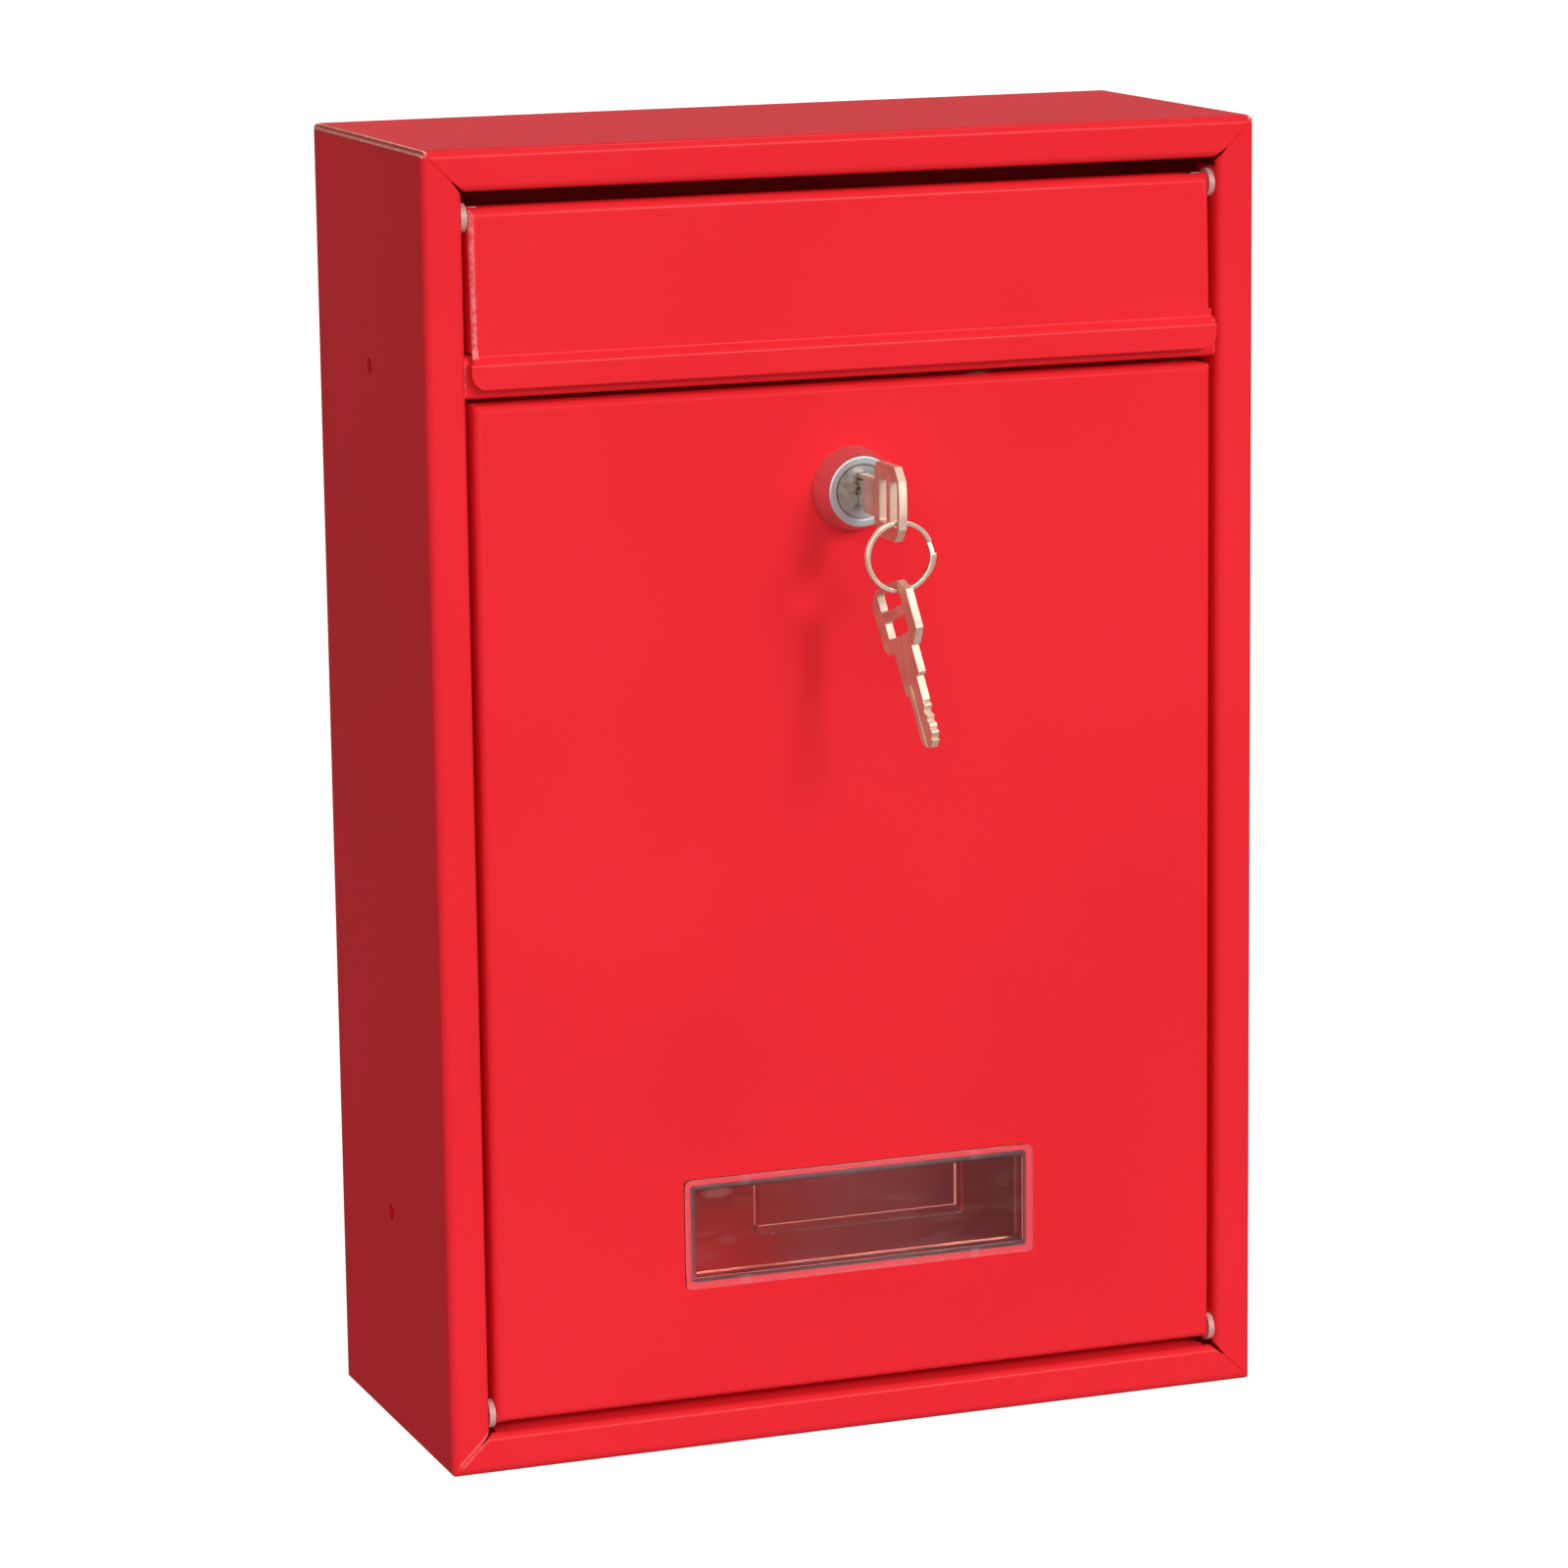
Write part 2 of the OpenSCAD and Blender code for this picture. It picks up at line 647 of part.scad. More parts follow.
module lock_plug() {
  pit_r = 0.8;
  pocket_half = 1.1;
  screw_hole_l = 5.2;
  color(chrome) on_lock_axis() difference() {
    union() {
      translate([0, 0, plug_rear]) cylinder(r = plug_r, h = plug_face - plug_rear);
      intersection() {
        translate([0, 0, cam_rear / 2]) cube([tail_w, tail_w, -cam_rear], center = true);
        cylinder(d = tail_w * 1.25, h = -2 * cam_rear, center = true);
      }
    }
    translate([0, 0, plug_face - keyway_l / 2 + 0.5])
      cube([keyway_w, keyway_h, keyway_l + 1], center = true);
    translate([0, (neck_w - tab_w) / 2, plug_face])
      cube([keyway_w, tab_w + 6 * key_side, 2 * tab_seat], center = true);
    for (z = [0, keyway_h / 2 - pit_r])
      translate([-keyway_w / 2, z, plug_face - pit_r]) cylinder(r1 = pit_r / 2, r2 = pit_r, h = pit_r + weld);
    for (i = [0 : 4])
      translate([0, 0, wafer_at(i)]) {
        cube([wafer_w + 2 * wafer_play, 2 * plug_d, wafer_t + 2 * wafer_play], center = true);
        translate([spring_x - pocket_half, ear_z - spring_l - 0.03, -wafer_t / 2 - 2 * wafer_play])
          cube([2 * pocket_half, spring_l + ear_h + wafer_rise + 0.15, wafer_t + 4 * wafer_play]);
      }
    translate([0, 0, cam_rear - 1]) cylinder(d = screw_d, h = cam_t + screw_hole_l + 1);
  }
}

// Flat wafer: round ends that match the plug, a window for the blade and an ear on its spring
module wafer(i) {
  gap = 0.15;
  low = blade_w / 2 + gap + wafer_rise * 0.8;
  high = blade_w / 2 + gap;
  color(nickel) on_lock_axis() translate([0, 0, wafer_at(i) - wafer_t / 2])
    linear_extrude(wafer_t) difference() {
      intersection() {
        union() {
          square([wafer_w, 2 * plug_d], center = true);
          translate([0, ear_z]) square([spring_x + 0.8, ear_h]);
        }
        circle(plug_r - 0.05);
      }
      translate([-keyway_w / 2 - gap / 3, -low]) square([keyway_w + gap / 1.5, low + high]);
    }
}

module wafer_1() { wafer(0); }
module wafer_2() { wafer(1); }
module wafer_3() { wafer(2); }
module wafer_4() { wafer(3); }
module wafer_5() { wafer(4); }

// Five small compression springs, each a stack of close coils under the ear of its wafer
module wafer_springs() {
  wire = 0.14;
  coils = 5;
  color(steel) on_lock_axis() for (i = [0 : 4])
    translate([spring_x, ear_z - 0.02, wafer_at(i)])
      rotate([90, 0, 0]) difference() {
        union() {
          cylinder(r = spring_r - wire, h = spring_l);
          for (k = [0 : coils - 1])
            translate([0, 0, k * (spring_l - 2 * wire) / (coils - 1)])
              cylinder(r = spring_r, h = 2 * wire);
        }
        translate([0, 0, -1]) cylinder(r = spring_r - 2 * wire, h = spring_l + 2);
      }
}

// Cam: a flat arm with a round end; it lies level when the door is free to open
module lock_cam() {
  color(steel) on_lock_axis() translate([0, 0, cam_rear]) linear_extrude(cam_t) difference() {
    union() {
      circle(d = cam_w);
      translate([(4 - cam_l) / 2, 0]) square([cam_l - 4, cam_w - 3], center = true);
      translate([4 - cam_l, 0]) rounded_rect(8, cam_w - 3, 2);
    }
    intersection() {
      square(tail_w + 2 * fit, center = true);
      circle(d = tail_w * 1.25 + 2 * fit);
    }
  }
}

module cam_washer() {
  color(steel) on_lock_axis() translate([0, 0, cam_rear - washer_t]) difference() {
    cylinder(d = 10, h = washer_t);
    translate([0, 0, -1]) cylinder(d = screw_d + 0.3, h = washer_t + 2);
  }
}

module cam_screw() {
  head_d = 7.6;
  head_h = 2.4;
  head = cam_rear - washer_t;
  color(steel) on_lock_axis() difference() {
    rotate_extrude() polygon([
      [0, head - head_h], [head_d / 2 - 1, head - head_h], [head_d / 2 - 0.3, head - head_h + 0.5],
      [head_d / 2, head - head_h + 1.2], [head_d / 2, head], [screw_d / 2, head],
      [screw_d / 2, cam_rear + 4.6], [screw_d / 2 - 0.4, cam_rear + 5], [0, cam_rear + 5]]);
    for (a = [0, 90])
      rotate([0, 0, a]) translate([0, 0, head - head_h]) cube([4.4, 0.9, 2.4], center = true);
  }
}

// Key drawn flat: x runs from the tip of the blade to the end of the bow, y is up when the
// key is in the lock
module key_outline() {
  bow_x = blade_l + neck_l;
  half = bow_w / 2;
  nose = 1.6;
  nick = 0.6;
  crown = 0.4;
  difference() {
    union() {
      polygon([
        [0, nose / 2], [0, -nick], [nose, -blade_w / 2], [blade_l, -blade_w / 2],
        [blade_l, -neck_w / 2 + nick], [blade_l + nick, -neck_w / 2],
        [bow_x + weld, -neck_w / 2], [bow_x, -half + bow_bevel], [bow_x + bow_bevel, -half],
        [key_l - bow_bevel, -half], [key_l - crown, -half + bow_bevel],
        [key_l - crown, half - bow_bevel], [key_l - bow_bevel, half],
        [bow_x + bow_bevel / 2, half], [bow_x, half - bow_bevel / 2],
        [bow_x + weld, neck_w / 2], [blade_l, neck_w / 2], [blade_l, blade_w / 2],
        [nose, blade_w / 2]]);
      translate([blade_l - tab_l, neck_w / 2 - tab_w]) square([tab_l + weld, tab_w]);
      intersection() {
        translate([key_l - 2 * bow_w, 0]) circle(2 * bow_w, $fn = 180);
        translate([bow_x + bow_bevel, bow_bevel - half]) square([bow_l, bow_w - 2 * bow_bevel]);
      }
    }
    translate([(slot_near + slot_far) / 2, 0]) rounded_rect(slot_l, slot_w, 0.8);
    translate([(bow_x + slot_near) / 2 + 0.5, 0]) rounded_rect(bow_window_l, bow_window_w, 0.6);
    for (i = [0 : 4])
      translate([key_bit_x(i), -blade_w / 2]) circle(bit_depth(i), $fn = 4);
  }
}

// Cuts under the wafers, with depths that follow a simple rule
function key_bit_x(i) = blade_l - key_gap - wafer_start - i * wafer_pitch;
function bit_depth(i) = 0.5 + 0.35 * ((2 * i) % 3);

module key_body() {
  rotate([90, 0, -90]) difference() {
    translate([0, 0, -key_t / 2]) linear_extrude(key_t) key_outline();
    for (s = [-1, 1])
      translate([-1, s * 0.9 - 0.45, s * (key_t / 2 - 0.15) - 0.25])
        cube([blade_l - 0.5, 0.9, 0.5]);
  }
}

module key() {
  color(nickel) translate([0, key_tip_y, lock_z]) key_body();
}

module spare_key() {
  color(nickel) translate(spare_pivot)
    rotate([0, 0, spare_turn])
      rotate([0, spare_lean, 0])
        rotate([-90 - spare_tilt, 0, 0])
          translate([0, ring_seat[0], -ring_seat[1]]) key_body();
}

// Split ring: a flat wire wound for two turns that lie side by side; it steps from one turn to
// the other at one place, between its two ends, and its rear end stands a little outwards
module key_ring() {
  steps = 100;
  start = 22;
  wound = 700;
  step_a = 24;
  lane = ring_w / 4 + 0.02;
  wire_w = ring_w / 2 - 0.06;
  sprung_a = 80;
  ease = function(v) let (u = min(1, max(0, v))) u * u * (3 - 2 * u);
  climb = function(t) ease((t - 0.5) * wound / step_a + 0.5);
  sprung = function(t) ring_spread * ease((t - 1) * wound / sprung_a + 1);
  ring_point = function(k, dr, dy)
    let (t = k / steps, a = start + wound * t, r = ring_mid_r + dr + sprung(t))
    [r * cos(a), lane * (2 * climb(t) - 1) + dy, r * sin(a)];
  points = [for (k = [0 : steps], c = [[-1, -1], [1, -1], [1, 1], [-1, 1]])
    ring_point(k, c[0] * ring_t / 2, c[1] * wire_w / 2)];
  sides = [for (k = [0 : steps - 1], c = [0 : 3])
    [4 * k + c, 4 * k + (c + 1) % 4, 4 * k + 4 + (c + 1) % 4, 4 * k + 4 + c]];
  ends = [[3, 2, 1, 0], [4 * steps, 4 * steps + 1, 4 * steps + 2, 4 * steps + 3]];
  color(nickel) translate(ring_centre)
    polyhedron(points = points, faces = concat(sides, ends), convexity = 6);
}

case();
slot_sill();
flap();
flap_bush_left();
flap_bush_right();
door();
door_bush_left();
door_bush_right();
door_window();
lock_housing();
lock_nut();
lock_plug();
wafer_1();
wafer_2();
wafer_3();
wafer_4();
wafer_5();
wafer_springs();
lock_cam();
cam_washer();
cam_screw();
key();
key_ring();
spare_key();
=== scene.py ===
import json
import math

import bmesh
import bpy
from mathutils import Matrix, Vector

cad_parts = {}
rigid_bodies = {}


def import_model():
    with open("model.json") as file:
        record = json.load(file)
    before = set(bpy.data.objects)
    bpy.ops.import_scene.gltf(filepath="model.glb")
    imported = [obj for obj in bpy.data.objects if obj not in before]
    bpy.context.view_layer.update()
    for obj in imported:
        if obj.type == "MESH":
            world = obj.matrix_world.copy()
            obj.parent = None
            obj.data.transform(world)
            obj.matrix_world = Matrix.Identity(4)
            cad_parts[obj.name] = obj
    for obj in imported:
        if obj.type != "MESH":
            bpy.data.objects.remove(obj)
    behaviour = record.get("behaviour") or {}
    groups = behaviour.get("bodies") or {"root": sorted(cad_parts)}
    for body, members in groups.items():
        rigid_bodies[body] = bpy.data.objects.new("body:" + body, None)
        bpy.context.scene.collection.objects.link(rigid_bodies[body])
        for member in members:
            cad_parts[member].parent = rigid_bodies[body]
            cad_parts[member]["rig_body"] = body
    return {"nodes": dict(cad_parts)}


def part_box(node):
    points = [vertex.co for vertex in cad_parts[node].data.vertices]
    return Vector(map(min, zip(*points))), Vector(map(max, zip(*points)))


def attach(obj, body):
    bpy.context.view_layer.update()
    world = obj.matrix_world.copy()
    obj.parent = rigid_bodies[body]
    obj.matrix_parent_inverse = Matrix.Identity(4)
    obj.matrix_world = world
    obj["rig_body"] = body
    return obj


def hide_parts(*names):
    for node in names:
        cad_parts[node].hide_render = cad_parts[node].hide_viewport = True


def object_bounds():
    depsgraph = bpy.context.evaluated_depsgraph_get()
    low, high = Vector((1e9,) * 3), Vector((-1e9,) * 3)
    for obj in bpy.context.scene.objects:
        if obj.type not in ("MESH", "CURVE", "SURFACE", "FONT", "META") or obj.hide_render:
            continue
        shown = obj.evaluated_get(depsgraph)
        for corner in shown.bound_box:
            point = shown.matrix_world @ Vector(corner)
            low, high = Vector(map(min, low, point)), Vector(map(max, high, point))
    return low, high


# Wall mailbox with a letter flap, a drop-down door and a cam lock: the finishes of its folded steel,
# its window, its bushes and its lock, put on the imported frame

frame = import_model()
cad_low, cad_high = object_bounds()
nodes = frame["nodes"]
MM = 0.001

# Outer faces of the case, and how far in from them the wear and the painted highlights along its upper
# edges are measured
CASE_LOW, CASE_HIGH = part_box("case")
WEAR_AND_HIGHLIGHT_INSET = 2 * MM

# The flap's front face: its half width, and its Y at its top edge, from which it leans outward
FLAP_HALF = 94 * MM
FLAP_TOP = 144 * MM
FLAP_FACE = -89.85 * MM
FLAP_SLOPE = math.tan(math.radians(1.9))

# Front faces of the door and of the lock's collar
DOOR_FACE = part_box("door")[0][1]
LOCK_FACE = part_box("lock_housing")[0][1]

# The window: half its width and height, the height of its middle, the face of its pane a little
# behind its rim, and the width of the rim
WINDOW_LOW, WINDOW_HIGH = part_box("door_window")
WINDOW_HALF_X = (WINDOW_HIGH[0] - WINDOW_LOW[0]) / 2
WINDOW_HALF_Z = (WINDOW_HIGH[2] - WINDOW_LOW[2]) / 2
WINDOW_MID = (WINDOW_HIGH[2] + WINDOW_LOW[2]) / 2
WINDOW_FACE = WINDOW_LOW[1] + 0.3 * MM
WINDOW_RIM = 2.6 * MM

# How far the floor lies under the box, so that the open door clears it
UNDER_THE_BOX = 175 * MM


# Colours and shader nodes

def srgb(red, green, blue):
    """A colour written as it looks on screen, from 0 to 255, turned into Blender's linear values."""
    def linear(v):
        v /= 255
        return v / 12.92 if v <= 0.04045 else ((v + 0.055) / 1.055) ** 2.4
    return (linear(red), linear(green), linear(blue), 1.0)


class Finish:
    """One procedural finish: a Principled shader with the constants set on its own sockets."""

    def __init__(self, name, **sockets):
        self.material = bpy.data.materials.new(name)
        self.material.use_nodes = True
        self.tree = self.material.node_tree
        self.shader = next(n for n in self.tree.nodes if n.type == "BSDF_PRINCIPLED")
        self.output = next(n for n in self.tree.nodes if n.type == "OUTPUT_MATERIAL")
        self.place = self.tree.nodes.new("ShaderNodeTexCoord").outputs["Object"]
        for socket, value in sockets.items():
            self.shader.inputs[socket.replace("_", " ")].default_value = value

    def feed(self, socket, value):
        """Links the output of another node to a socket, or sets a plain value on it."""
        if isinstance(value, bpy.types.NodeSocket):
            self.tree.links.new(value, socket)
        else:
            socket.default_value = value

    def link(self, output, socket):
        """Links an output to a socket of the shader itself."""
        self.tree.links.new(output, self.shader.inputs[socket])

    def add(self, kind, **inputs):
        """A new shader node with its inputs set or linked by name."""
        node = self.tree.nodes.new("ShaderNode" + kind)
        for socket, value in inputs.items():
            self.feed(node.inputs[socket.replace("_", " ")], value)
        return node

    def noise(self, scale, detail=3.0, roughness=0.5, place=None):
        """Cloudy noise from 0 to 1, on the object's coordinates unless another place is given."""
        return self.add("TexNoise", Vector=place or self.place, Scale=scale, Detail=detail,
                        Roughness=roughness).outputs["Fac"]

    def stretched(self, x, y, z):
        """The object's coordinates, drawn out by a factor along each axis."""
        return self.add("Mapping", Vector=self.place, Scale=(x, y, z)).outputs["Vector"]

    def math(self, operation, *values):
        node = self.tree.nodes.new("ShaderNodeMath")
        node.operation = operation
        for socket, value in zip(node.inputs, values):
            self.feed(socket, value)
        return node.outputs["Value"]

    def plus(self, first, second):
        return self.math("ADD", first, second)

    def minus(self, first, second):
        return self.math("SUBTRACT", first, second)

    def times(self, first, second):
        return self.math("MULTIPLY", first, second)

    def size(self, value):
        """The value without its sign."""
        return self.math("ABSOLUTE", value)

    def axes(self):
        """The three object coordinates, in metres."""
        return self.add("SeparateXYZ", Vector=self.place).outputs

    def blend(self, fac, first, second):
        """One colour where fac is 0 and the other where it is 1."""
        node = self.tree.nodes.new("ShaderNodeMix")
        node.data_type = "RGBA"
        sockets = [s for s in node.inputs if s.enabled]
        for socket, value in zip(sockets, (fac, first, second)):
            self.feed(socket, value)
        return next(s for s in node.outputs if s.enabled)

    def spread(self, fac, low, high, out_low, out_high):
        """Runs from out_low to out_high while fac runs from low to high, and holds beyond them."""
        return self.add("MapRange", Value=fac, From_Min=low, From_Max=high, To_Min=out_low,
                        To_Max=out_high).outputs["Result"]

    def ramp(self, fac, stops):
        """Colours that change along fac, each given with its place."""
        node = self.add("ValToRGB", Fac=fac)
        line = node.color_ramp.elements
        while len(line) < len(stops):
            line.new(1.0)
        for stop, (at, colour) in zip(line, stops):
            stop.position = at
            stop.color = colour
        return node.outputs["Color"]

    def bumps(self, *layers):
        """Layers of height, each (fac, height in metres), stacked on each other."""
        normal = None
        for fac, height in layers:
            node = self.add("Bump", Strength=1.0, Height=fac, Distance=height)
            if normal is not None:
                self.feed(node.inputs["Normal"], normal)
            normal = node.outputs["Normal"]
        self.link(normal, "Normal")
        self.link(normal, "Coat Normal")


def paint_base(f, peel_height=0.016 * MM, grain_height=0.003 * MM):
    """Gives the coat its orange peel and grain, and returns its red, with a slight drift of tone."""
    peel = f.noise(620, 2.0, 0.45)
    grain = f.noise(4600, 1.5, 0.5)
    f.bumps((peel, peel_height), (grain, grain_height))
    drift = f.noise(9, 2.0, 0.5)
    return f.ramp(drift, [(0.32, srgb(241, 42, 51)), (0.68, srgb(247, 46, 55))])


# Gloss of the powder coat: a thin clear layer over a dull red
PAINT_GLOSS = {"Specular_IOR_Level": 0.0, "Roughness": 0.6, "Coat_Weight": 0.10,
               "Coat_Roughness": 0.2, "Coat_IOR": 1.5}


def powder_coat():
    """Satin red powder coat: orange peel of about a millimetre, a fine grain and a slight drift of tone."""
    f = Finish("red_powder_coat", **PAINT_GLOSS)
    f.link(paint_base(f), "Base Color")
    return f.material


def worn_and_highlit_upper_edges(f, colour, patchy):
    """A worn strip along the two welded upper edges of the case, with a pale painted highlight down each
    side of it, where the sheet edges catch the light.
    """
    x, _, z = f.axes()
    out = f.minus(f.size(x), CASE_HIGH[0] - WEAR_AND_HIGHLIGHT_INSET)
    rise = f.minus(z, CASE_HIGH[2] - WEAR_AND_HIGHLIGHT_INSET)
    on_bend = f.spread(f.math("MINIMUM", out, rise), 0.2 * MM, 0.5 * MM, 0, 1)
    wobble = f.times(f.noise(260, 2.0, 0.5), 0.3 * MM)
    across = f.minus(f.size(f.minus(out, rise)), wobble)
    strip = f.times(f.spread(across, 1.0 * MM, 1.3 * MM, 1, 0), on_bend)
    # Painted highlights: the pale lines along each side of the strip, where the sheet edges catch the light
    line = f.times(f.spread(across, 0.3 * MM, 0.6 * MM, 0, 1), strip)
    colour = f.blend(f.times(strip, 0.8), colour, srgb(214, 104, 92))
    return f.blend(f.times(line, patchy), colour, srgb(255, 186, 164))


def painted_weld_highlight(f, colour, patchy):
    """The weld of the lower left mitre, drawn as a painted highlight: a pale double line where the weld
    bead catches the light.
    """
    x, y, z = f.axes()
    from_side = f.minus(x, CASE_LOW[0])
    from_bottom = f.minus(z, CASE_LOW[2])
    along = f.plus(from_side, from_bottom)
    wobble = f.times(f.noise(420, 2.0, 0.5), 0.6 * MM)
    off = f.size(f.plus(f.minus(from_side, from_bottom), wobble))
    # A painted highlight: a pale double line along the mitre, where the weld bead catches the light
    line = f.spread(f.size(f.minus(off, 0.7 * MM)), 0.2 * MM, 0.5 * MM, 1, 0)
    reach = f.times(f.spread(along, 4 * MM, 6 * MM, 0, 1), f.spread(along, 23 * MM, 24 * MM, 1, 0))
    on_frame = f.spread(y, CASE_LOW[1] + 0.5 * MM, CASE_LOW[1] + 1.0 * MM, 0.8, 0)
    weld = f.times(f.times(line, reach), on_frame)
    return f.blend(f.times(weld, patchy), colour, srgb(255, 120, 124))


def case_coat():
    """The same coat on the case, worn at its upper edges, with painted highlights along them and on one
    weld.
    """
    f = Finish("red_powder_coat_case", **PAINT_GLOSS)
    patchy = f.spread(f.noise(330, 3.0, 0.6), 0.35, 0.62, 0.55, 1)
    colour = worn_and_highlit_upper_edges(f, paint_base(f), patchy)
    f.link(painted_weld_highlight(f, colour, patchy), "Base Color")
    return f.material


def flap_coat():
    """The same coat on the flap, with a painted highlight of pale speckles on the bend down its left end.
    """
    f = Finish("red_powder_coat_flap", **PAINT_GLOSS)
    x, y, z = f.axes()
    inward = f.plus(x, FLAP_HALF)
    face = f.math("MULTIPLY_ADD", f.minus(FLAP_TOP, z), -FLAP_SLOPE, FLAP_FACE)
    depth = f.minus(y, face)
    # A painted highlight: pale speckles along the bend at the flap's left end, where light catches the
    # orange peel
    bend = f.times(f.spread(f.plus(inward, depth), 0.94 * MM, 1.0 * MM, 1, 0),
                   f.spread(depth, -0.4 * MM, -0.1 * MM, 0, 1))
    highlight_speckle = f.spread(f.noise(900, 3.0, 0.6), 0.4, 0.62, 0.15, 0.55)
    f.link(f.blend(f.times(bend, highlight_speckle), paint_base(f), srgb(255, 190, 190)), "Base Color")
    return f.material


def thin_coat_and_edge_highlight():
    """The coat where it draws back from a cut edge: a shade paler, partly the thinner coat and partly a
    painted highlight along the edge, with small chips.
    """
    f = Finish("red_powder_coat_edges", **PAINT_GLOSS)
    # Paler at cut edges: partly the thinner coat, partly a painted highlight along the edge
    pale = f.blend(0.6, paint_base(f, 0.02 * MM, 0.004 * MM), srgb(255, 140, 140))
    chips = f.spread(f.noise(1500, 3.0, 0.6), 0.5, 0.6, 0, 0.7)
    f.link(f.blend(chips, pale, srgb(255, 196, 190)), "Base Color")
    return f.material


def collar_chrome():
    """Bright chrome on a die casting, with a faint ripple and fine dull specks."""
    f = Finish("lock_chrome", Metallic=0.88)
    ripple = f.noise(260, 2.0, 0.5)
    specks = f.noise(4200, 2.0, 0.6)
    polish = f.spread(specks, 0.35, 0.75, 0.2, 0.3)
    front = f.spread(f.axes()["Y"], LOCK_FACE + 0.1 * MM, LOCK_FACE + 0.3 * MM, 1.0, 0.0)
    f.link(f.blend(front, srgb(216, 200, 200), srgb(180, 180, 182)), "Base Color")
    f.link(f.plus(polish, f.times(front, 0.1)), "Roughness")
    f.bumps((ripple, 0.006 * MM), (specks, 0.0006 * MM))
    return f.material


def plug_satin():
    """Satin chrome of the plug face: fine turning marks and a grey, slightly worn tone."""
    f = Finish("plug_satin_chrome", Metallic=1.0)
    wear = f.noise(420, 4.0, 0.6)
    grain = f.noise(6000, 2.0, 0.6)
    f.link(f.ramp(wear, [(0.3, srgb(146, 146, 146)), (0.7, srgb(178, 178, 176))]), "Base Color")
    f.link(f.spread(wear, 0.3, 0.7, 0.26, 0.4), "Roughness")
    f.bumps((wear, 0.008 * MM), (grain, 0.002 * MM))
    return f.material


def nickel():
    """Nickel over stamped brass: warm grey, rubbed along its length, with small dull patches."""
    f = Finish("nickel_plated_key", Metallic=0.7)
    rub = f.noise(900, 3.0, 0.6, f.stretched(1, 1, 0.12))
    patch = f.noise(160, 3.0, 0.6)
    f.link(f.ramp(patch, [(0.3, srgb(206, 178, 158)), (0.7, srgb(232, 208, 186))]), "Base Color")
    f.link(f.spread(rub, 0.3, 0.7, 0.42, 0.58), "Roughness")
    f.bumps((rub, 0.004 * MM), (patch, 0.008 * MM))
    return f.material


def ring_wire():
    """Nickel plated spring wire of the split ring, drawn smooth, with faint scratches."""
    f = Finish("ring_wire_nickel", Metallic=1.0)
    scratch = f.noise(2600, 2.0, 0.6, f.stretched(1, 0.2, 1))
    tone = f.noise(200, 2.0, 0.5)
    f.link(f.ramp(tone, [(0.3, srgb(226, 202, 178)), (0.7, srgb(246, 226, 204))]), "Base Color")
    f.link(f.spread(scratch, 0.3, 0.7, 0.12, 0.26), "Roughness")
    f.bumps((scratch, 0.003 * MM))
    return f.material


def zinc_plate():
    """Bright zinc plate with a faint yellow and blue drift and a fine spangle."""
    f = Finish("zinc_plated_steel", Metallic=1.0)
    drift = f.noise(120, 3.0, 0.5)
    grain = f.noise(3000, 3.0, 0.6)
    f.link(f.ramp(drift, [(0.3, srgb(178, 182, 188)), (0.55, srgb(196, 195, 190)),
                          (0.75, srgb(204, 198, 180))]), "Base Color")
    f.link(f.spread(grain, 0.3, 0.7, 0.26, 0.42), "Roughness")
    f.bumps((grain, 0.004 * MM))
    return f.material


def stamped_brass():
    """Bare stamped brass of the wafers, a little tarnished."""
    f = Finish("wafer_brass", Metallic=1.0)
    tarnish = f.noise(700, 3.0, 0.6)
    f.link(f.ramp(tarnish, [(0.3, srgb(150, 116, 58)), (0.7, srgb(206, 170, 98))]), "Base Color")
    f.link(f.spread(tarnish, 0.3, 0.7, 0.3, 0.45), "Roughness")
    f.bumps((tarnish, 0.004 * MM))
    return f.material


def lit_through(f):
    """Lets the lamps shine through a clear piece on to what lies behind it."""
    shadow = f.add("LightPath").outputs["Is Shadow Ray"]
    clear = f.add("BsdfTransparent", Color=(0.92, 0.88, 0.87, 1))
    both = f.add("MixShader", Fac=shadow)
    f.feed(both.inputs[1], f.shader.outputs[0])
    f.feed(both.inputs[2], clear.outputs[0])
    f.feed(f.output.inputs["Surface"], both.outputs[0])


def wiped_spot(f, x, up, smear):
    """A wiped spot near the window's upper left corner, in patches."""
    across = f.math("DIVIDE", f.plus(x, 37.4 * MM), 4.5 * MM)
    above = f.math("DIVIDE", f.minus(up, 10.0 * MM), 1.6 * MM)
    away = f.plus(f.math("POWER", across, 2.0), f.math("POWER", above, 2.0))
    return f.times(f.spread(away, 0.2, 1.0, 0.11, 0.0), f.spread(smear, 0.3, 0.6, 0.5, 1.0))


def clips_behind(f, wide, dust):
    """The two clips behind the rim, which show through it as pale marks."""
    off = f.size(f.minus(wide, 30.2 * MM))
    return f.times(f.spread(off, 0.6 * MM, 1.4 * MM, 0.16, 0.0), f.spread(dust, 0.4, 0.6, 0.3, 1.0))


